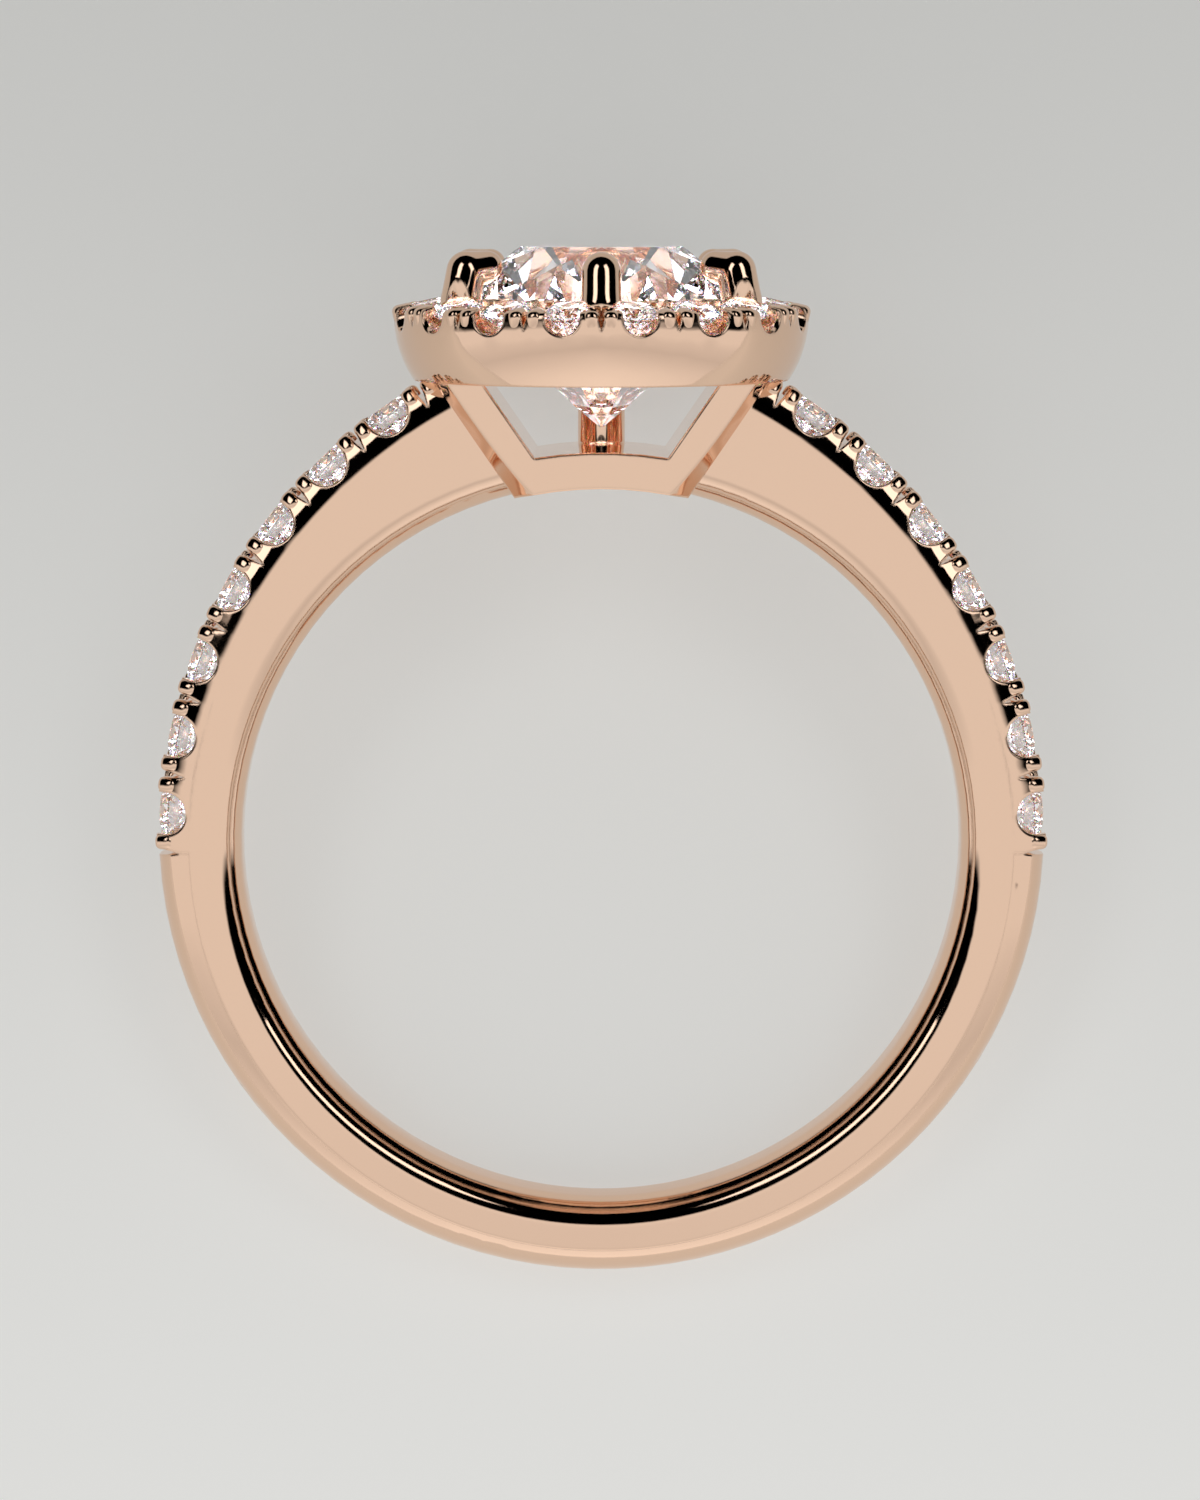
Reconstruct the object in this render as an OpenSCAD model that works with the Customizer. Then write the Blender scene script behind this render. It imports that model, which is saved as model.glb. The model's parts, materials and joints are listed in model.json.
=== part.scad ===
// Halo ring: a round brilliant in six claws, a halo of small brilliants in a bowl-shaped cup,
// shoulders set with small brilliants in scallops, and a comfort-fit shank.
// The ring lies on its side: it rests on the rim of the cup and on the palm side of the shank.
// The origin is the middle of the finger hole. Lengths are in millimetres.

/* [Finger hole] */
// Inside diameter (16.5 is US size 6)
finger_d = 16.5; // [15:0.1:19]
// Width of the straight band in the middle of the comfort fit
finger_band_w = 0.6; // [0.4:0.05:0.9]
// How far the inside falls away from the finger at its edges
comfort_drop = 0.25; // [0.15:0.05:0.35]

/* [Shank] */
// Width along the finger
shank_w = 2; // [1.8:0.1:2.6]
// Thickness at the sides
shank_t = 1.92; // [1.84:0.02:2.4]
// Thickness at the palm, where the finger bends
palm_t = 1.78; // [1.7:0.02:1.84]
// How far the rounding of the palm side's outer edges reaches down its sides
palm_round_depth = 0.95; // [0.7:0.05:1]
// How far that rounding draws the edges in at the outside
palm_round_inset = 0.75; // [0.4:0.05:0.9]
// Radius of the rounded inner corners
inner_corner_r = 0.4; // [0.3:0.05:0.5]
// How far the middle of each shoulder arc lies past the finger axis, which lifts the shoulders
shoulder_shift = 2.06; // [1.6:0.02:2.4]
// How far the rounding of the shoulders' outer edges reaches down their sides
shoulder_round_depth = 0.9; // [0.7:0.05:1]
// How far that rounding draws the edges in at the prong tips
shoulder_round_inset = 0.3; // [0.2:0.02:0.36]

/* [Shoulder stones] */
// Diameter of a shoulder stone
side_stone_d = 1.35; // [1.1:0.05:1.5]
// Space between two shoulder stones, which holds a pair of prongs
side_stone_gap = 0.48; // [0.4:0.02:0.6]
// Where the row ends, as an angle round the shoulder arc from the head
side_row_end = 90.85; // [80:0.5:95]
// Width of a scallop in the side of the shank
side_scallop_w = 0.98; // [0.7:0.02:1.05]
// Depth of a scallop below the prong tips
side_scallop_depth = 0.67; // [0.55:0.01:0.8]
// Depth of the split between the two prongs of a pair
side_split_depth = 0.55; // [0.3:0.05:0.6]
// Width of the split at the prong tips
side_split_w = 0.24; // [0.14:0.02:0.3]

/* [Halo] */
// Diameter of a halo stone
halo_stone_d = 1.1; // [1:0.05:1.2]
// Least space between two halo stones
halo_stone_gap = 0.36; // [0.34:0.02:0.6]
// Space between the centre stone and the halo stones, seen from above
halo_inner_gap = 0.2; // [0.18:0.01:0.4]
// How far the halo stones tip outwards, in degrees
halo_tip = 13; // [6:1:16]
// How far the halo stones lie below the girdle of the centre stone
halo_drop = 0.085; // [0.06:0.01:0.3]
// Gold outside the halo stones
halo_wall = 0.2; // [0.14:0.01:0.3]
// Width of a scallop in the wall of the cup
halo_scallop_w = 0.78; // [0.6:0.02:0.9]
// Depth of a scallop below the prong tips
halo_scallop_depth = 0.5; // [0.4:0.01:0.6]
// Depth of the split between the two prongs of a pair
halo_split_depth = 0.38; // [0.2:0.02:0.5]
// Width of the split at the prong tips
halo_split_w = 0.19; // [0.12:0.01:0.24]
// How high the halo prongs stand above the girdle of their stones
halo_prong_h = 0.18; // [0.14:0.01:0.26]
// Radius of the outer edge of the halo prongs
halo_prong_r = 0.16; // [0.08:0.02:0.2]

/* [Centre stone] */
// Diameter (6.5 is about 1 carat)
centre_d = 6.5; // [6:0.1:7.2]
// Diameter of the table, the flat on top
centre_table_d = 3.7; // [3:0.05:4.2]
// Height of the crown, between girdle and table
centre_crown_h = 1.12; // [0.8:0.01:1.2]
// Height of the girdle
centre_girdle_h = 0.2; // [0.1:0.02:0.3]
// Depth of the pavilion, below the girdle
centre_pavilion_h = 2.83; // [2.6:0.01:3.1]

/* [Head] */
// Thickness of the base plate over the finger
base_t = 0.82; // [0.7:0.02:1.1]
// Space between the base plate and the point of the centre stone
culet_gap = 0.41; // [0.3:0.01:0.8]
// Width of the basket at the finger hole, across the ring
basket_foot_w = 4.22; // [3.8:0.02:4.8]
// Depth of the basket along the finger
basket_depth = 4.6; // [4:0.05:5]
// Width of the flat front of the basket at the finger hole
basket_front_w = 3.3; // [3:0.05:3.6]
// Width of the ledge under the cup at the rounded corners of the basket
basket_corner_ledge = 0.15; // [0.1:0.05:0.3]
// Gold left beside the window of the basket
basket_side_w = 1.1; // [0.9:0.05:1.2]
// Width of the ledge under the cup, outside the basket
cup_ledge = 0.55; // [0.3:0.05:0.7]
// Depth of the cup below the girdle of its stones
cup_depth = 1.62; // [1.4:0.01:1.8]
// How far the wall of the cup draws in between its rim and its foot
cup_taper = 0.44; // [0.3:0.02:0.6]
// Gold at the foot of the cup
cup_foot_w = 0.95; // [0.8:0.05:1.1]
// Diameter of the post in the back window
post_d = 1.09; // [0.8:0.01:1.2]

/* [Claws] */
// Number of claws
claws = 6; // [4:1:8]
// Diameter of a claw where it leaves the halo
claw_d = 0.92; // [0.7:0.02:1]
// Diameter of a claw at its bend
claw_bend_d = 0.88; // [0.6:0.02:0.96]
// Diameter of the tip of a claw
claw_tip_d = 0.74; // [0.4:0.02:0.8]
// Diameter of the neck between the halo stones
claw_neck_d = 0.38; // [0.3:0.02:0.5]
// How far the middle of a claw's foot stands outside the centre stone
claw_out = 0.38; // [0.36:0.01:0.5]
// How far a claw leans in between its foot and its bend
claw_lean = 0.14; // [0.1:0.02:0.3]
// How far the middle of a claw's tip lies inside the edge of the centre stone
claw_reach = 0.28; // [0.2:0.02:0.6]
// How far the claws stay below the table of the centre stone
claw_drop = 0.08; // [0:0.01:0.15]

/* [Hidden] */
$fn = 64;
seat_gap = 0.02;          // between a stone and its gold
over = 1;                 // how far a cutting shape reaches past what it cuts
girdle_share = 0.03;      // height of a small stone's girdle, as a share of its diameter
crown_share = 0.15;       // its crown
pavilion_share = 0.43;    // its pavilion
table_share = 0.57;       // its table
rose_gold = "#e9bd98";
diamond = "#dfe6ee";

// Shank and shoulders, seen along the finger
finger_r = finger_d / 2;
shank_r = finger_r + shank_t;
palm_r = finger_r + palm_t;
outer_shift = (pow(shank_r, 2) - pow(palm_r, 2)) / (2 * palm_r);
outer_r = palm_r + outer_shift;
comfort_edge = shank_w / 2 - inner_corner_r / 2;
comfort_run = comfort_edge - finger_band_w / 2;
comfort_r = (pow(comfort_drop, 2) + pow(comfort_run, 2)) / (2 * comfort_drop);
shoulder_r = shank_r + shoulder_shift;
shoulder_round_r = (pow(shoulder_round_depth, 2) + pow(shoulder_round_inset, 2)) / (2 * shoulder_round_inset);
palm_round_r = (pow(palm_round_depth, 2) + pow(palm_round_inset, 2)) / (2 * palm_round_inset);
row_end = [shoulder_r * sin(side_row_end) - shoulder_shift, shoulder_r * cos(side_row_end)];
shank_end = atan2(row_end.y - outer_shift, row_end.x);
side_step = (side_stone_d + side_stone_gap) / shoulder_r * 180 / PI;
side_girdle_depth = side_stone_d * (crown_share + girdle_share / 2) + seat_gap;
prong_len = (shank_w - side_stone_d) / 2 + side_stone_d / 8;

// Head: heights are measured from the finger axis
plate_r = finger_r + base_t;
girdle_z = plate_r + culet_gap + centre_pavilion_h;
halo_reach = halo_stone_d / 2 * cos(halo_tip);
halo_r = centre_d / 2 + halo_inner_gap + halo_reach;
halo_z = girdle_z - halo_drop;
halo_stones = floor(2 * PI * halo_r / (halo_stone_d + halo_stone_gap));
cup_r = halo_r + halo_reach + halo_wall;
cup_foot_r = cup_r - cup_taper;
cup_foot_z = halo_z - cup_depth;
cup_rim_z = halo_z - halo_reach * sin(halo_tip) - halo_wall / 4;
cup_rim_h = cup_rim_z - cup_foot_z;
cup_bulge_r = (pow(cup_rim_h, 2) + pow(cup_taper, 2)) / (2 * cup_taper);
basket_top_w = 2 * (cup_foot_r - cup_ledge);
basket_slope = (basket_top_w - basket_foot_w) / 2 / (cup_foot_z - finger_r);
basket_corner_foot_r = norm([basket_front_w, basket_depth]) / 2;
basket_corner_top_r = cup_foot_r - basket_corner_ledge;
table_z = girdle_z + centre_girdle_h + centre_crown_h;
claw_foot_z = girdle_z + centre_girdle_h / 2;
claw_top_z = table_z - claw_drop;

// The row of shoulder stones runs from its end up to just under the foot of the cup
row_start = asin((cup_foot_r - cup_foot_w / 8 + shoulder_shift) / shoulder_r);
side_stones = floor((side_row_end - row_start) / side_step);
function split_angle(k) = side_row_end - (side_stones - k) * side_step;
function stone_angle(k) = split_angle(k) - side_step / 2;

// Lying down: one straight line touches the rim of the cup and the rounded edge of the palm side
rim_y = cup_rim_z + palm_r - palm_round_depth;
rim_z = cup_r - cup_bulge_r - (shank_w / 2 - palm_round_r);
lie_angle = atan(rim_z / rim_y) + asin((cup_bulge_r - palm_round_r) / norm([rim_y, rim_z]));

// Placing

// The ring is drawn flat, with the finger along Z and the head towards +Y, and then laid down
module lay_down() {
    rotate([lie_angle, 0, 0]) children();
}

// Head parts are drawn with Z out of the finger and Y along it
module in_head() {
    rotate([-90, 0, 0]) children();
}

// A spot on the right shoulder arc: its Y points out of the gold and its Z along the finger
module on_shoulder(angle) {
    translate([-shoulder_shift, 0, 0])
        rotate([0, 0, -angle])
        translate([0, shoulder_r, 0])
        children();
}

module both_shoulders() {
    children();
    mirror([1, 0, 0]) children();
}

// The seat of halo stone k: its Z points out of the gold and its X away from the head
module at_halo(k) {
    rotate([0, 0, (k - 0.5) * 360 / halo_stones - 90])
        translate([halo_r, 0, halo_z])
        rotate([0, halo_tip, 0])
        children();
}

// Stones

function ring_points(r, z, first, step) = [for (a = [first : step : first + 359.9]) [r * cos(a), r * sin(a), z]];

// Height at p of the plane through a, b and c
function plane_z(a, b, c, p) =
    let (n = cross(b - a, c - a))
    a.z - (n.x * (p.x - a.x) + n.y * (p.y - a.y)) / n.z;

// A point of the girdle at angle t, on the facet that runs from the girdle to the point at (r, z)
function girdle_point(rg, zg, r, z, t, side) =
    let (near = floor(t / 45) * 45 + 22.5)
    let (a = [rg * cos(near), rg * sin(near), zg])
    let (b = [rg * cos(near + side * 22.5), rg * sin(near + side * 22.5), zg])
    let (c = [r * cos(near), r * sin(near), z])
    let (p = [rg * cos(t), rg * sin(t), 0])
    [p.x, p.y, plane_z(a, b, c, p)];

// Where two star facets meet a kite, and where two lower facets meet a main, as [radius, height]
// with the girdle at height 0
function star_point(d, table_d, crown_h) =
    let (r = (d + table_d) / 4)
    [r, crown_h * (d - 2 * r * cos(22.5)) / (d - table_d)];
function lower_point(d, pavilion_h) =
    let (r = d * 0.11)
    [r, -pavilion_h * (d - 2 * r * cos(22.5)) / d];

// Round brilliant with its girdle at z = 0 to girdle_h: table, 8 stars, 8 kites, 16 upper facets,
// girdle, 16 lower facets and 8 mains. Each upper and lower facet meets the girdle in cuts edges.
module brilliant(d, table_d, crown_h, girdle_h, pavilion_h, cuts) {
    rg = d / 2;
    rt = table_d / 2;
    rs = star_point(d, table_d, crown_h).x;
    zs = star_point(d, table_d, crown_h).y + girdle_h;
    rl = lower_point(d, pavilion_h).x;
    zl = lower_point(d, pavilion_h).y;
    n = 16 * cuts;
    sides = [for (j = [0 : n - 1]) (j % (2 * cuts)) < cuts ? -1 : 1];
    top = [for (j = [0 : n - 1]) girdle_point(rg, girdle_h, rs, zs, j * 360 / n, sides[j])];
    bottom = [for (j = [0 : n - 1]) girdle_point(rg, 0, rl, zl, j * 360 / n, sides[j])];
    points = concat(
        ring_points(rt, girdle_h + crown_h, 0, 45),
        ring_points(rs, zs, 22.5, 45),
        top,
        bottom,
        ring_points(rl, zl, 22.5, 45),
        [[0, 0, -pavilion_h]]
    );
    star = 8;
    upper = 16;
    lower = upper + n;
    main = lower + n;
    culet = main + 8;
    faces = concat(
        [[for (k = [7 : -1 : 0]) k]],
        [for (k = [0 : 7]) [k, (k + 1) % 8, star + k]],
        [for (k = [0 : 7]) [k, star + k, upper + 2 * cuts * k, star + (k + 7) % 8]],
        [for (k = [0 : 7]) for (j = [0 : 2 * cuts - 1])
            [star + k, upper + (2 * cuts * k + j + 1) % n, upper + 2 * cuts * k + j]],
        [for (j = [0 : n - 1]) [upper + j, upper + (j + 1) % n, lower + (j + 1) % n, lower + j]],
        [for (k = [0 : 7]) for (j = [0 : 2 * cuts - 1])
            [main + k, lower + 2 * cuts * k + j, lower + (2 * cuts * k + j + 1) % n]],
        [for (k = [0 : 7]) [culet, main + (k + 7) % 8, lower + 2 * cuts * k, main + k]]
    );
    polyhedron(points, faces);
}

module small_brilliant(d) {
    translate([0, 0, -d * girdle_share / 2])
        brilliant(d, d * table_share, d * crown_share, d * girdle_share, d * pavilion_share, 1);
}

// What a stone needs free of gold: its own outline and a gap, open above the table
module seat(d, table_d, crown_h, girdle_h, pavilion_h, open_h) {
    r = d / 2 + seat_gap;
    rt = table_d / 2 + seat_gap;
    rotate_extrude() polygon([
        [0, -pavilion_h - seat_gap],
        lower_point(d, pavilion_h) + [seat_gap, -seat_gap],
        [r, 0],
        [r, girdle_h],
        star_point(d, table_d, crown_h) + [seat_gap, girdle_h + seat_gap],
        [rt, girdle_h + crown_h + seat_gap],
        [rt, girdle_h + crown_h + open_h],
        [0, girdle_h + crown_h + open_h]
    ]);
}

module small_seat(d) {
    translate([0, 0, -d * girdle_share / 2])
        seat(d, d * table_share, d * crown_share, d * girdle_share, d * pavilion_share, over);
}

module centre_seat() {
    translate([0, 0, girdle_z])
        seat(centre_d, centre_table_d, centre_crown_h, centre_girdle_h, centre_pavilion_h, over);
}

module centre_stone() {
    color(diamond) lay_down() in_head() translate([0, 0, girdle_z])
        brilliant(centre_d, centre_table_d, centre_crown_h, centre_girdle_h, centre_pavilion_h, 2);
}

module halo_stone(k) {
    color(diamond) lay_down() in_head() at_halo(k) small_brilliant(halo_stone_d);
}

// Shoulder stone k, counted from the head, on the right
module side_stone(k) {
    on_shoulder(stone_angle(k))
        translate([0, -side_girdle_depth, 0])
        rotate([-90, 0, 0])
        small_brilliant(side_stone_d);
}

module shoulder_stone_right(k) {
    color(diamond) lay_down() side_stone(k);
}

module shoulder_stone_left(k) {
    color(diamond) lay_down() mirror([1, 0, 0]) side_stone(k);
}

// Gold

// Sections of the shank: X is the distance from the middle of the circle that it is turned round,
// and Y runs along the finger. The outside is turned round a point nearer the head, which leaves
// the palm side thinner.
module inner_section() {
    inner = finger_r + comfort_drop - inner_corner_r / 8;
    translate([inner, -shank_w / 2 + inner_corner_r])
        square([shank_t / 2, shank_w - 2 * inner_corner_r]);
    translate([inner + inner_corner_r, -shank_w / 2])
        square([shank_t / 2 - inner_corner_r, shank_w]);
    for (side = [-1, 1])
        translate([inner + inner_corner_r, side * (shank_w / 2 - inner_corner_r)]) circle(inner_corner_r);
    intersection() {
        union() {
            translate([finger_r, -finger_band_w / 2]) square([shank_t / 2, finger_band_w]);
            for (side = [-1, 1])
                translate([finger_r + comfort_r, side * finger_band_w / 2]) circle(comfort_r);
        }
        translate([finger_r, -shank_w / 2]) square([comfort_drop, shank_w]);
    }
}

// Section with flat sides and an outside that is rounded over to a narrower crest
module rounded_section(inner, crest, depth, round_r) {
    flat_r = crest - depth;
    translate([inner, -shank_w / 2]) square([flat_r - inner, shank_w]);
    intersection() {
        translate([flat_r, -shank_w / 2]) square([depth, shank_w]);
        translate([flat_r, shank_w / 2 - round_r]) circle(round_r);
        translate([flat_r, round_r - shank_w / 2]) circle(round_r);
    }
}

module outer_section() {
    rounded_section(outer_r - shank_t / 2, outer_r, palm_round_depth, palm_round_r);
}

// Section of a shoulder, turned round the middle of its own arc
module shoulder_section() {
    rounded_section(finger_r, shoulder_r, shoulder_round_depth, shoulder_round_r);
}

// The raised part of the right shoulder, between the head and the end of its row of stones
module shoulder() {
    reach = shoulder_r * 2;
    intersection() {
        linear_extrude(shank_w, center = true) difference() {
            translate([-shoulder_shift, 0]) polygon([
                [0, 0],
                [reach * sin(row_start - side_step / 2), reach * cos(row_start - side_step / 2)],
                [reach, reach],
                [reach * sin(side_row_end), reach * cos(side_row_end)]
            ]);
            circle(finger_r + shank_t / 2);
        }
        translate([-shoulder_shift, 0, 0]) rotate_extrude() shoulder_section();
    }
}

// U-shaped cut along Z, open towards +Y, with its lowest point at -depth
module scallop(w, depth, len) {
    linear_extrude(len, center = true) {
        translate([0, w / 2 - depth]) circle(w / 2);
        translate([-w / 2, w / 2 - depth]) square([w, depth - w / 2 + over]);
    }
}

// V-shaped cut along Z, which splits a pair of prongs
module split(w, depth, len) {
    open_w = w * (1 + over / depth);
    linear_extrude(len, center = true)
        polygon([[0, -depth], [open_w / 2, over], [-open_w / 2, over]]);
}

// Everything cut out of the right shoulder for its stones
module shoulder_cuts() {
    channel_w = shank_w - 2 * prong_len;
    translate([-shoulder_shift, 0, 0])
        rotate([0, 0, 90 - side_row_end])
        rotate_extrude(angle = side_row_end - row_start)
        translate([shoulder_r - side_girdle_depth, -channel_w / 2])
        square([over, channel_w]);
    for (k = [1 : side_stones])
        on_shoulder(stone_angle(k)) {
            scallop(side_scallop_w, side_scallop_depth, shank_w + over);
            translate([0, -side_girdle_depth, 0]) rotate([-90, 0, 0]) small_seat(side_stone_d);
        }
    for (k = [0 : side_stones])
        on_shoulder(split_angle(k)) split(side_split_w, side_split_depth, shank_w + over);
}

module shank() {
    difference() {
        union() {
            rotate_extrude() inner_section();
            translate([0, outer_shift, 0])
                rotate_extrude(start = 180 - shank_end, angle = 180 + 2 * shank_end)
                outer_section();
            both_shoulders() shoulder();
        }
        both_shoulders() shoulder_cuts();
    }
}

// Seen from the front, the basket widens evenly between the finger and the foot of the cup
module basket_front(foot_w, top_w, foot_z, top_z) {
    polygon([[-foot_w / 2, foot_z], [foot_w / 2, foot_z], [top_w / 2, top_z], [-top_w / 2, top_z]]);
}

// Solid basket with a flat front and back and rounded corners
module basket() {
    top_z = cup_foot_z + cup_foot_w / 4;
    foot_z = finger_r - base_t;
    corner_slope = (basket_corner_top_r - basket_corner_foot_r) / (cup_foot_z - finger_r);
    intersection() {
        translate([0, 0, foot_z])
            cylinder(
                r1 = basket_corner_foot_r - base_t * corner_slope,
                r2 = basket_corner_top_r + (top_z - cup_foot_z) * corner_slope,
                h = top_z - foot_z
            );
        rotate([90, 0, 0]) linear_extrude(basket_depth, center = true)
            basket_front(
                basket_foot_w - 2 * base_t * basket_slope,
                basket_top_w + 2 * (top_z - cup_foot_z) * basket_slope,
                foot_z,
                top_z
            );
    }
}

// The window goes straight through the basket, over a base plate that is curved round the finger
module window() {
    rotate([90, 0, 0]) linear_extrude(4 * cup_r, center = true) difference() {
        basket_front(basket_foot_w - 2 * basket_side_w, basket_top_w - 2 * basket_side_w, finger_r, cup_foot_z);
        circle(plate_r);
    }
}

// Round wire in the back window, from the base plate up to the cup
module post() {
    translate([0, (basket_depth - post_d) / 2, finger_r + base_t / 4])
        cylinder(d = post_d, h = cup_foot_z - finger_r + cup_foot_w / 4);
}

// A point of the halo's top, u outwards and v up from the middle of a stone's girdle
function halo_point(u, v) = [
    halo_r + u * cos(halo_tip) + v * sin(halo_tip),
    halo_z - u * sin(halo_tip) + v * cos(halo_tip)
];

// Ring of gold round the centre stone, before its seats are cut. Its top has a lip on each side
// of the stones, which the scallops and splits leave standing as prongs.
module cup() {
    lip = halo_stone_d * 0.36;
    edge = halo_point(halo_reach + halo_wall - halo_prong_r, halo_prong_h - halo_prong_r);
    intersection() {
        rotate_extrude() {
            polygon([
                [basket_top_w / 2 - basket_side_w, cup_foot_z],
                [cup_r + over, cup_foot_z],
                halo_point(halo_reach + halo_wall + over, halo_prong_h),
                halo_point(lip, halo_prong_h),
                halo_point(lip, 0),
                halo_point(-lip, 0),
                halo_point(-lip, halo_prong_h),
                [centre_d / 2 - halo_inner_gap, halo_point(-halo_reach, halo_prong_h).y],
                [centre_d / 2 - halo_inner_gap, cup_foot_z + cup_foot_w]
            ]);
        }
        rotate_extrude() {
            translate([0, cup_foot_z]) square([edge.x, cup_rim_h + over]);
            translate([0, cup_foot_z]) square([edge.x + halo_prong_r, edge.y - cup_foot_z]);
            translate(edge) circle(halo_prong_r);
        }
        rotate_extrude() {
            translate([0, cup_foot_z]) square([cup_r - cup_bulge_r, cup_rim_h + over]);
            intersection() {
                translate([cup_r - cup_bulge_r, cup_rim_z]) circle(cup_bulge_r);
                translate([0, cup_foot_z]) square([cup_r + over, cup_rim_h + over]);
            }
        }
    }
}

// Everything cut out of the top of the cup for its stones
module cup_cuts() {
    len = 2 * (halo_wall + halo_stone_d / 2);
    for (k = [1 : halo_stones]) {
        at_halo(k) {
            small_seat(halo_stone_d);
            translate([len / 2, 0, halo_prong_h])
                rotate([0, 0, 90])
                rotate([90, 0, 0])
                scallop(halo_scallop_w, halo_scallop_depth, len);
            translate([-halo_stone_d / 2, 0, over / 2])
                cube([halo_stone_d, halo_scallop_w, over], center = true);
        }
        rotate([0, 0, 180 / halo_stones]) at_halo(k)
            translate([halo_stone_d / 8, 0, halo_prong_h])
            rotate([0, 0, 90])
            rotate([90, 0, 0])
            split(halo_split_w, halo_split_depth, 2 * halo_stone_d);
    }
}

// Wire from one spot to another, each given as distance from the head axis, height and diameter,
// with a ball at its end
module wire(from, to) {
    run = to[0] - from[0];
    rise = to[1] - from[1];
    translate([from[0], 0, from[1]])
        rotate([0, atan2(run, rise), 0])
        cylinder(d1 = from[2], d2 = to[2], h = norm([run, rise]));
    translate([to[0], 0, to[1]]) sphere(d = to[2]);
}

// Claw: a neck between the stones that widens into a finger, which bends in over the crown
module claw() {
    r = centre_d / 2;
    neck = [r + halo_inner_gap / 2, claw_foot_z - claw_d / 2, claw_neck_d];
    foot = [r + claw_out, claw_foot_z, claw_d];
    bend = [r + claw_out - claw_lean, claw_top_z - claw_bend_d / 2, claw_bend_d];
    tip = [r - claw_reach, claw_top_z - claw_tip_d / 2, claw_tip_d];
    wire([neck[0], cup_foot_z + cup_foot_w, claw_neck_d], neck);
    wire(neck, foot);
    wire(foot, bend);
    wire(bend, tip);
}

module head() {
    difference() {
        union() {
            basket();
            cup();
        }
        cup_cuts();
    }
    difference() {
        for (k = [1 : claws]) rotate([0, 0, k * 360 / claws - 90]) claw();
        for (k = [1 : halo_stones]) at_halo(k) small_seat(halo_stone_d);
    }
}

module mounting() {
    color(rose_gold) lay_down() difference() {
        union() {
            difference() {
                union() {
                    shank();
                    in_head() head();
                }
                in_head() {
                    window();
                    centre_seat();
                    translate([0, 0, cup_foot_z - seat_gap])
                        cylinder(r = cup_foot_r - cup_foot_w, h = over / 2);
                }
            }
            in_head() difference() {
                post();
                centre_seat();
            }
        }
        cylinder(r = finger_r, h = 4 * cup_r, center = true);
    }
}

mounting();
centre_stone();
for (k = [1 : halo_stones])
    halo_stone(k);
for (k = [1 : side_stones]) {
    shoulder_stone_right(k);
    shoulder_stone_left(k);
}
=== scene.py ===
import json
import math
import bpy
from mathutils import Matrix, Vector


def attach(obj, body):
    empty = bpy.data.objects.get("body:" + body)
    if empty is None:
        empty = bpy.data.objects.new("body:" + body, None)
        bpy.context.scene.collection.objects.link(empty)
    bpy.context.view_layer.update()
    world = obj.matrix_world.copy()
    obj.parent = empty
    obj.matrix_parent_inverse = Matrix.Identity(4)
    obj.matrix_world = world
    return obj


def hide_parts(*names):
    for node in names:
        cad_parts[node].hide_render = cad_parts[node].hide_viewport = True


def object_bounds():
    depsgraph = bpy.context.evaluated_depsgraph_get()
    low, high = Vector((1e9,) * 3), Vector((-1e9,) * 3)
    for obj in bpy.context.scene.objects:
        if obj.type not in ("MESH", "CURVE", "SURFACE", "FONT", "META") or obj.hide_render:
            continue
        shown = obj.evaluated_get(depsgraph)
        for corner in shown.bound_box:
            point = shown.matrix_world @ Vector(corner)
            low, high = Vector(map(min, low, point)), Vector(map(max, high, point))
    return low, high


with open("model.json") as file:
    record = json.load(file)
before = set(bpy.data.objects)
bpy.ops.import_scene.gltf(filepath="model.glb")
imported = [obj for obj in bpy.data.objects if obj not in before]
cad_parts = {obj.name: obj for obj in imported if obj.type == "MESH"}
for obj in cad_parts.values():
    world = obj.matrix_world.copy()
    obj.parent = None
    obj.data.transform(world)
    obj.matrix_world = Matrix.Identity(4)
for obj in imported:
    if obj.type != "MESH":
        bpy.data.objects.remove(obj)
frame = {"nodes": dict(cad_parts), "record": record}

cadBox = [list(corner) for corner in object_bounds()]
millimetre = 0.001
fingerHole = frame["record"]["mounts"][0]
fingerAxis = Vector(fingerHole["axis"]).normalized()  # out of the hole, up to the camera
acrossRing = Vector((1, 0, 0))
toHead = fingerAxis.cross(acrossRing)  # from the hole to the stones
ringTurn = Matrix((acrossRing, toHead, fingerAxis)).transposed()


def srgb(code):
    parts = [int(code[i:i + 2], 16) / 255 for i in (1, 3, 5)]
    return [c / 12.92 if c <= 0.04045 else ((c + 0.055) / 1.055) ** 2.4 for c in parts] + [1.0]


def addNode(material, kind, settings=None, links=None):
    node = material.node_tree.nodes.new("ShaderNode" + kind)
    for name, value in (settings or {}).items():
        if name in node.inputs:
            node.inputs[name].default_value = value
        else:
            setattr(node, name, value)
    for name, source in (links or {}).items():
        material.node_tree.links.new(source, node.inputs[name])
    return node


def newMaterial(name):
    material = bpy.data.materials.new(name)
    material.use_nodes = True
    material.node_tree.nodes.clear()
    return material


def dress(piece, material):
    piece.data.materials.clear()
    piece.data.materials.append(material)


# Rose gold, cast, tumbled and buffed: a warm mirror with the faintest haze and soft edges
goldLook = {
    "colour": "#eecbb1",
    "patches": 0.9,  # of haze in a millimetre
    "roughness": (0.02, 0.07),
    "rounding": 0.1,  # of every edge, in millimetres
}


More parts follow.
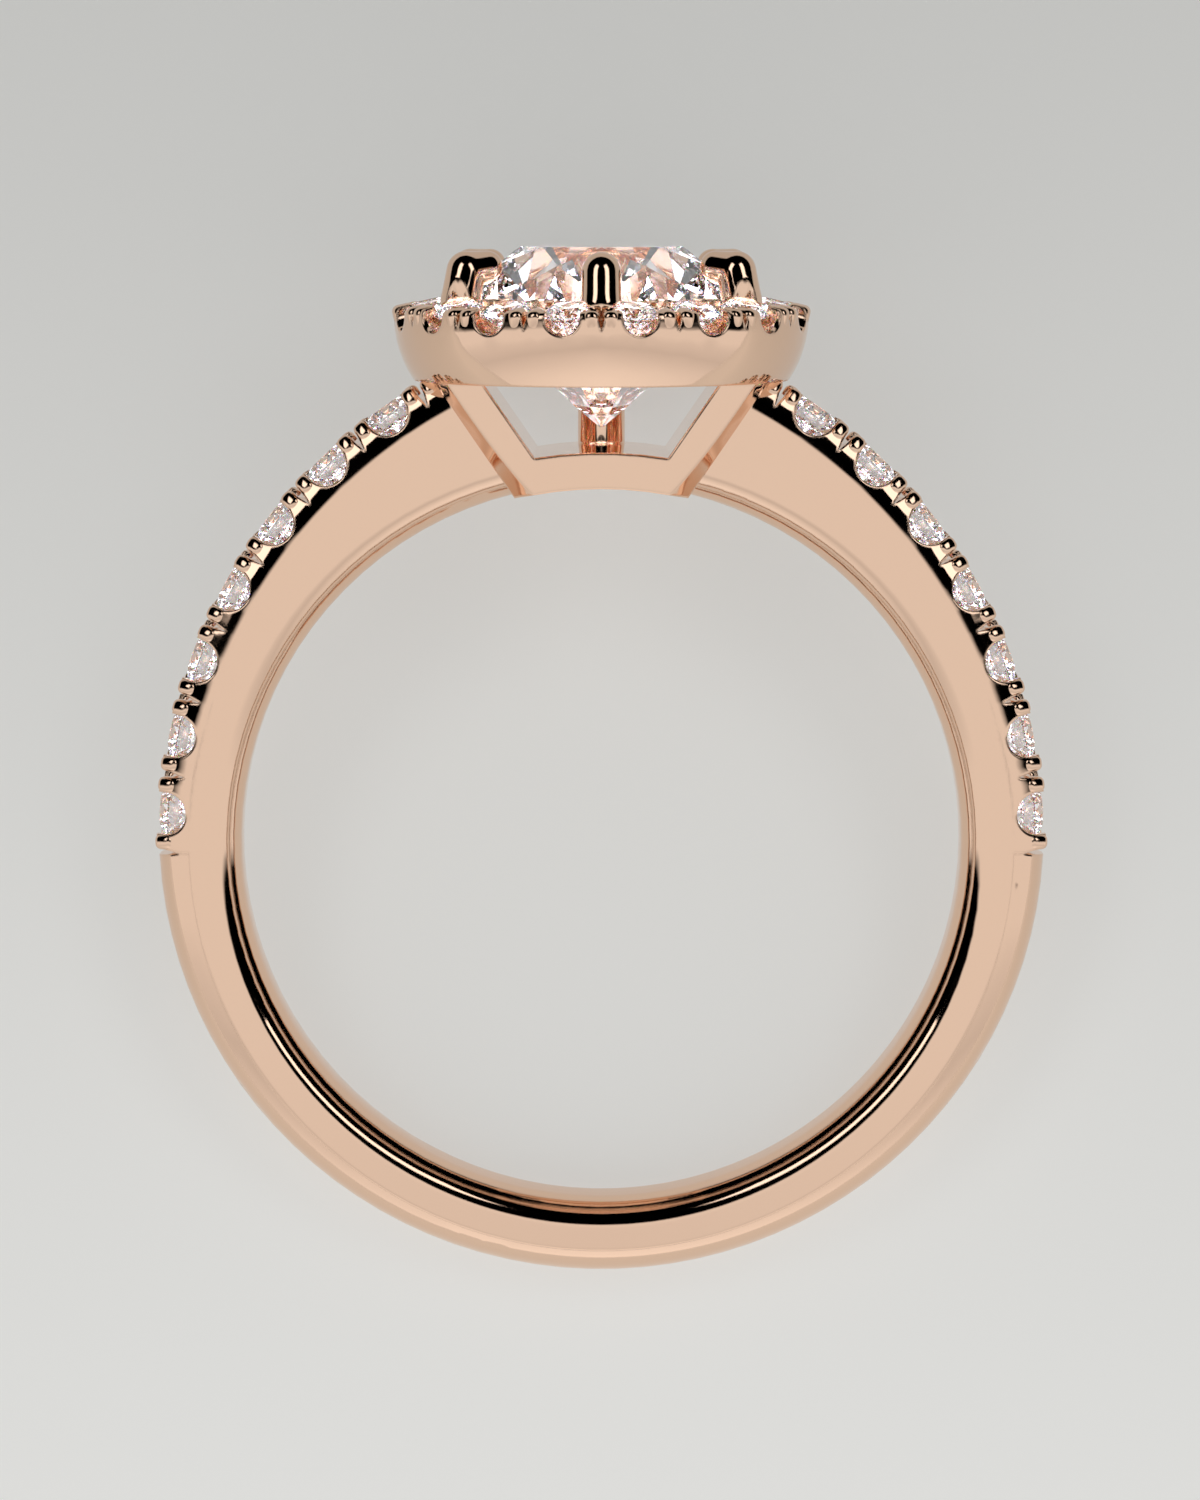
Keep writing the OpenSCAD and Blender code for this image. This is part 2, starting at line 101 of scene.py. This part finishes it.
def polishedRoseGold():
    material = newMaterial("polished_rose_gold")
    place = addNode(material, "TexCoord")
    haze = addNode(material, "TexNoise", {"Scale": goldLook["patches"] / millimetre, "Detail": 3.0},
                   {"Vector": place.outputs["Object"]})
    clearest, dullest = goldLook["roughness"]
    rough = addNode(material, "MapRange",
                    {"From Min": 0.3, "From Max": 0.7, "To Min": clearest, "To Max": dullest},
                    {"Value": haze.outputs["Fac"]})
    softEdge = addNode(material, "Bevel", {"Radius": goldLook["rounding"] * millimetre, "samples": 8})
    gold = addNode(material, "BsdfPrincipled", {"Base Color": srgb(goldLook["colour"]), "Metallic": 1.0},
                   {"Roughness": rough.outputs["Result"], "Normal": softEdge.outputs["Normal"]})
    addNode(material, "OutputMaterial", None, {"Surface": gold.outputs["BSDF"]})
    return material


# Brilliant-cut diamond: bright, with a little of the light split into its colours
diamondLook = {
    "colour": "#fefeff",
    "ior": 2.418,
    "fire": {"#ff0000": 2.408, "#00ff00": 2.42, "#0000ff": 2.436},  # each colour bends by its own amount
    "fireShare": 0.009,
}


def cutDiamond():
    material = newMaterial("cut_diamond")
    clear = addNode(material, "BsdfGlass",
                    {"Color": srgb(diamondLook["colour"]), "IOR": diamondLook["ior"], "Roughness": 0.0})
    red, green, blue = [
        addNode(material, "BsdfGlass", {"Color": srgb(colour), "IOR": ior, "Roughness": 0.0}).outputs["BSDF"]
        for colour, ior in diamondLook["fire"].items()
    ]
    warm = addNode(material, "AddShader", None, {0: red, 1: green})
    split = addNode(material, "AddShader", None, {0: warm.outputs["Shader"], 1: blue})
    whole = addNode(material, "MixShader", {"Fac": diamondLook["fireShare"]},
                    {1: clear.outputs["BSDF"], 2: split.outputs["Shader"]})
    addNode(material, "OutputMaterial", None, {"Surface": whole.outputs["Shader"]})
    return material


roseGold = polishedRoseGold()
diamond = cutDiamond()

# Metal: a copy of the solid, its flats joined into whole faces that the roundings run into evenly
metalForm = {"weld": 0.002, "sameFlat": 0.05, "sharpFrom": 32, "flatWeight": 100}  # millimetres and degrees
innerEdge = {  # where the finger hole rounds into the flats, in millimetres
    "ring": fingerHole["dims"]["r_mm"] + 0.6, "height": 0.6, "round": 0.4, "slack": 0.004,
}


def fromInnerEdge(spot):
    place = ringTurn.inverted() @ spot / millimetre
    out = Vector((place.x, place.y, 0)).normalized()
    middle = out * innerEdge["ring"] + Vector((0, 0, math.copysign(innerEdge["height"], place.z)))
    return place - middle


def evenInnerEdge(metal):
    # The mesh skips rows here, so every corner looks straight out of the rounding's own middle line
    mesh = metal.data
    normals = [corner.vector.copy() for corner in mesh.corner_normals]
    for face in mesh.polygons:
        ways = [fromInnerEdge(mesh.vertices[number].co) for number in face.vertices]
        if all(abs(way.length - innerEdge["round"]) < innerEdge["slack"] for way in ways):
            for corner, way in zip(face.loop_indices, ways):
                normals[corner] = (ringTurn @ way).normalized()
    mesh.normals_split_custom_set(normals)


def polishMetal(node):
    bpy.ops.object.select_all(action="DESELECT")
    node.select_set(True)
    bpy.context.view_layer.objects.active = node
    bpy.ops.object.duplicate()
    metal = bpy.context.active_object
    metal.name = "polished_metal"
    metal.parent = None
    bpy.ops.object.mode_set(mode="EDIT")
    bpy.ops.mesh.select_all(action="SELECT")
    bpy.ops.mesh.customdata_custom_splitnormals_clear()
    bpy.ops.mesh.remove_doubles(threshold=metalForm["weld"] * millimetre)
    bpy.ops.mesh.dissolve_limited(angle_limit=math.radians(metalForm["sameFlat"]))
    bpy.ops.object.mode_set(mode="OBJECT")
    bpy.ops.object.shade_smooth_by_angle(angle=math.radians(metalForm["sharpFrom"]))
    flats = metal.modifiers.new("flats", "WEIGHTED_NORMAL")
    flats.keep_sharp = True
    flats.weight = metalForm["flatWeight"]
    bpy.ops.object.modifier_apply(modifier="flats")
    evenInnerEdge(metal)
    dress(metal, roseGold)
    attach(metal, "root")
    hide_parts(node.name)


for name, node in frame["nodes"].items():
    if name == "mounting":
        polishMetal(node)
    else:
        dress(node, diamond)
print("metal and stones")

# Prong tips: every prong ends in a small pillow of gold, pushed over its stone (millimetres and degrees)
haloTips = {
    "count": 17, "size": (0.36, 0.52, 0.50), "round": 0.15,  # along the rim, out of it, towards the stones' tables
    "radius": 3.986, "height": 12.225, "tip": 13.0,  # of the stones' ring, and how far they lean outwards
    "apart": 0.21, "out": 0.51, "up": -0.03,  # each tip's place, from the split between two prongs
}
shoulderTips = {
    "count": 8, "size": (0.36, 0.46, 0.44), "round": 0.14,  # along the row, out of it, along the finger
    "radius": 12.23, "shift": 2.06, "first": 30.84, "step": 8.573,  # of the shoulder's arc, and its splits
    "apart": 0.245, "deep": 0.225, "front": 0.66, "lean": 24.0,  # each tip's place, from its split
}
pillowSegments = 5


def pillow(name, tips):
    bpy.ops.object.select_all(action="DESELECT")
    bpy.ops.mesh.primitive_cube_add(size=millimetre)
    piece = bpy.context.active_object
    piece.name = name
    piece.scale = tips["size"]
    bpy.ops.object.transform_apply(location=False, rotation=False, scale=True)
    bpy.ops.object.mode_set(mode="EDIT")
    bpy.ops.mesh.select_all(action="SELECT")
    bpy.ops.mesh.bevel(offset=tips["round"] * millimetre, segments=pillowSegments, profile=0.5, affect="EDGES")
    bpy.ops.object.mode_set(mode="OBJECT")
    bpy.ops.object.shade_smooth()
    return piece


def setTips(first, places):
    bpy.ops.object.select_all(action="DESELECT")
    for place in places[1:]:
        tip = first.copy()
        tip.data = first.data.copy()
        bpy.context.collection.objects.link(tip)
        tip.matrix_world = place
        tip.select_set(True)
    first.matrix_world = places[0]
    first.select_set(True)
    bpy.context.view_layer.objects.active = first
    bpy.ops.object.join()
    bpy.ops.object.transform_apply(location=True, rotation=True, scale=True)
    dress(first, roseGold)
    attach(first, "root")


def ringPlace(out, up, spot):
    turn = (ringTurn @ Matrix((out.cross(up), out, up)).transposed()).to_4x4()
    turn.translation = ringTurn @ (spot * millimetre)
    return turn


haloPlaces = []
for number in range(haloTips["count"]):
    angle = math.radians(number * 360 / haloTips["count"] - 90)
    tip = math.radians(haloTips["tip"])
    away = Vector((math.cos(angle), 0, -math.sin(angle)))
    head = Vector((0, 1, 0))
    along = away.cross(head)
    out = away * math.cos(tip) - head * math.sin(tip)
    up = away * math.sin(tip) + head * math.cos(tip)
    split = away * haloTips["radius"] + head * haloTips["height"] + out * haloTips["out"] + up * haloTips["up"]
    for side in (-1, 1):
        haloPlaces.append(ringPlace(out, up, split + along * side * haloTips["apart"]))
setTips(pillow("halo_prong_tips", haloTips), haloPlaces)

shoulderPlaces = []
lean = math.radians(shoulderTips["lean"])
for number in range(shoulderTips["count"]):
    angle = math.radians(shoulderTips["first"] + number * shoulderTips["step"])
    ends = (-1,) if number == shoulderTips["count"] - 1 else (-1, 1)  # the row's last split has one prong
    for side in ends:
        for face in (-1, 1):
            for mirrored in (-1, 1):
                finger = Vector((0, 0, face))
                along = Vector((math.cos(angle) * mirrored, -math.sin(angle), 0))
                rise = Vector((math.sin(angle) * mirrored, math.cos(angle), 0))
                top = rise * math.cos(lean) - finger * math.sin(lean)
                front = finger * math.cos(lean) + rise * math.sin(lean)
                spot = rise * (shoulderTips["radius"] - shoulderTips["deep"]) + finger * shoulderTips["front"]
                spot += along * side * shoulderTips["apart"] - acrossRing * shoulderTips["shift"] * mirrored
                shoulderPlaces.append(ringPlace(top, front, spot))
setTips(pillow("shoulder_prong_tips", shoulderTips), shoulderPlaces)
print("prong tips")

# Floor: a sheet of matt uncoated paper, pale, that the ring lies on; its tone holds painted light: a painted
# falloff from lighter on the shank's side to darker on the head's, and a painted glow that keeps shadows on it
# light
floorLook = {
    "size": 1.2,
    # painted falloff: near is the lighter tone on the shank's side, far the darker tone on the head's side
    "near": "#f4f4f1", "far": "#d7d7d4",
    "paintedFalloff": (-16, 20),  # millimetres from the finger hole, on the shank's side and on the head's
    "glow": 1.12, "share": 0.5, "roughness": 0.9,  # half of its tone glows, so shadows on it stay light
}
bpy.ops.object.select_all(action="DESELECT")
bpy.ops.mesh.primitive_plane_add(size=floorLook["size"], location=(0, 0, cadBox[0][2]))
floor = bpy.context.active_object
floor.name = "floor"
bpy.ops.object.transform_apply(location=True, rotation=True, scale=True)
paper = newMaterial("paper_with_painted_falloff_and_glow")
where = addNode(paper, "TexCoord")
rise = addNode(paper, "SeparateXYZ", None, {"Vector": where.outputs["Object"]})
nearEnd, farEnd = floorLook["paintedFalloff"]
tone = addNode(paper, "MapRange", {"From Min": nearEnd * millimetre, "From Max": farEnd * millimetre},
               {"Value": rise.outputs["Y"]})
# painted falloff of light across the paper, lighter towards the shank and darker towards the head
shade = addNode(paper, "ValToRGB", None, {"Fac": tone.outputs["Result"]})
shade.color_ramp.elements[0].color = srgb(floorLook["near"])
shade.color_ramp.elements[1].color = srgb(floorLook["far"])
# painted glow: half of the tone is the paper's colour and half is light that the paper gives off though it is no
# lamp, so shadows on it stay light
half = addNode(paper, "MixRGB", {"Fac": floorLook["share"], "Color1": srgb("#000000")},
               {"Color2": shade.outputs["Color"]})
sheet = addNode(paper, "BsdfPrincipled",
                {"Roughness": floorLook["roughness"], "Emission Strength": floorLook["glow"]},
                {"Base Color": half.outputs["Color"], "Emission Color": half.outputs["Color"]})
addNode(paper, "OutputMaterial", None, {"Surface": sheet.outputs["BSDF"]})
dress(floor, paper)
print("floor")

# Camera: square to the ring's front, a little above the middle of the halo (metres and degrees)
cameraPlace = {
    "distance": 0.1, "height": 0.015, "pitch": 5.4,
    "frame": 0.03455,  # seen from the picture's top to its bottom, in the plane of the ring
    "shift": (-0.0009, -0.1), "nearest": 0.01,
}
pitch = math.radians(cameraPlace["pitch"])
look = -fingerAxis * math.cos(pitch) - toHead * math.sin(pitch)
bpy.ops.object.camera_add(location=fingerAxis * cameraPlace["distance"] + toHead * cameraPlace["height"])
camera = bpy.context.active_object
camera.rotation_euler = Matrix((acrossRing, acrossRing.cross(look), -look)).transposed().to_euler()
camera.data.lens = camera.data.sensor_width * -camera.location.dot(look) / cameraPlace["frame"]
camera.data.shift_x, camera.data.shift_y = cameraPlace["shift"]
camera.data.clip_start = cameraPlace["nearest"]
bpy.context.scene.camera = camera

# Light: a pale room below, a dark ceiling over the halo and the shoulders, and two windows in it.
# Each level has a height: 0 is straight below the shank and 1 straight above the head.
roomLook = {
    "strength": 1.55,
    "sideways": 0.16,  # how much a turn to either side counts as height
    "byHeight": (
        (0.0, 0.70), (0.12, 0.6), (0.28, 0.44), (0.36, 0.50), (0.41, 0.56), (0.505, 0.56),
        (0.52, 0.30), (0.535, 0.0),
    ),
    "throughStone": ((0.0, 1.15), (0.44, 1.15), (0.47, 0.05), (0.65, 0.05), (0.68, 2.6), (1.0, 2.6)),
    "pastTheFloor": (0.6, 0.6, 0.59, 1.0),
}
world = bpy.data.worlds.new("room")
bpy.context.scene.world = world
world.use_nodes = True
world.node_tree.nodes.clear()


def rampOf(levels, source):
    ramp = addNode(world, "ValToRGB", None, {"Fac": source})
    stops = ramp.color_ramp.elements
    while len(stops) > 1:
        stops.remove(stops[-1])
    for number, (at, level) in enumerate(levels):
        stop = stops[0] if number == 0 else stops.new(at)
        stop.position = at
        stop.color = (level, level, level, 1.0)
    return ramp.outputs["Color"]


way = addNode(world, "TexCoord")
height = addNode(world, "VectorMath", {"operation": "DOT_PRODUCT"}, {"Vector": way.outputs["Generated"]})
height.inputs[1].default_value = toHead
across = addNode(world, "SeparateXYZ", None, {"Vector": way.outputs["Generated"]})
aside = addNode(world, "Math", {"operation": "ABSOLUTE"}, {"Value": across.outputs["X"]})
outward = addNode(world, "Math", {"operation": "MULTIPLY_ADD"},
                  {0: aside.outputs["Value"], 2: height.outputs["Value"]})
outward.inputs[1].default_value = roomLook["sideways"]
share = addNode(world, "MapRange", {"From Min": -1.0, "From Max": 1.0}, {"Value": outward.outputs["Value"]})
room = addNode(world, "Background", {"Strength": roomLook["strength"]},
               {"Color": rampOf(roomLook["byHeight"], share.outputs["Result"])})
bright = addNode(world, "Background", {"Strength": roomLook["strength"]},
                 {"Color": rampOf(roomLook["throughStone"], share.outputs["Result"])})
plain = addNode(world, "Background", {"Color": roomLook["pastTheFloor"], "Strength": 1.0})
path = addNode(world, "LightPath")
inStone = addNode(world, "MixShader", None, {
    "Fac": path.outputs["Is Transmission Ray"], 1: room.outputs["Background"], 2: bright.outputs["Background"]})
seen = addNode(world, "MixShader", None, {
    "Fac": path.outputs["Is Camera Ray"], 1: inStone.outputs["Shader"], 2: plain.outputs["Background"]})
addNode(world, "OutputWorld", None, {"Surface": seen.outputs["Shader"]})

lamps = {  # metres from the finger hole: across the ring, towards the head, out of the hole
    "left_window": {"at": (-0.125, 0.115, 0.18), "size": (0.16, 0.08), "power": 0.065},
    "right_window": {"at": (0.125, 0.115, 0.18), "size": (0.16, 0.08), "power": 0.065},
}
for name, lamp in lamps.items():
    place = ringTurn @ Vector(lamp["at"])
    turn = (-place).to_track_quat("-Z", "Y").to_euler()
    bpy.ops.object.light_add(type="AREA", location=place, rotation=turn)
    light = bpy.context.active_object
    light.name = name
    light.data.shape = "RECTANGLE"
    light.data.size, light.data.size_y = lamp["size"]
    light.data.energy = lamp["power"]
print("camera and light")

stoneBounces = 24  # light crosses a stone many times before it comes out
bpy.context.scene.view_settings.view_transform = "Standard"
bpy.context.scene.cycles.max_bounces = stoneBounces
bpy.context.scene.cycles.transmission_bounces = stoneBounces
bpy.context.scene.cycles.glossy_bounces = stoneBounces
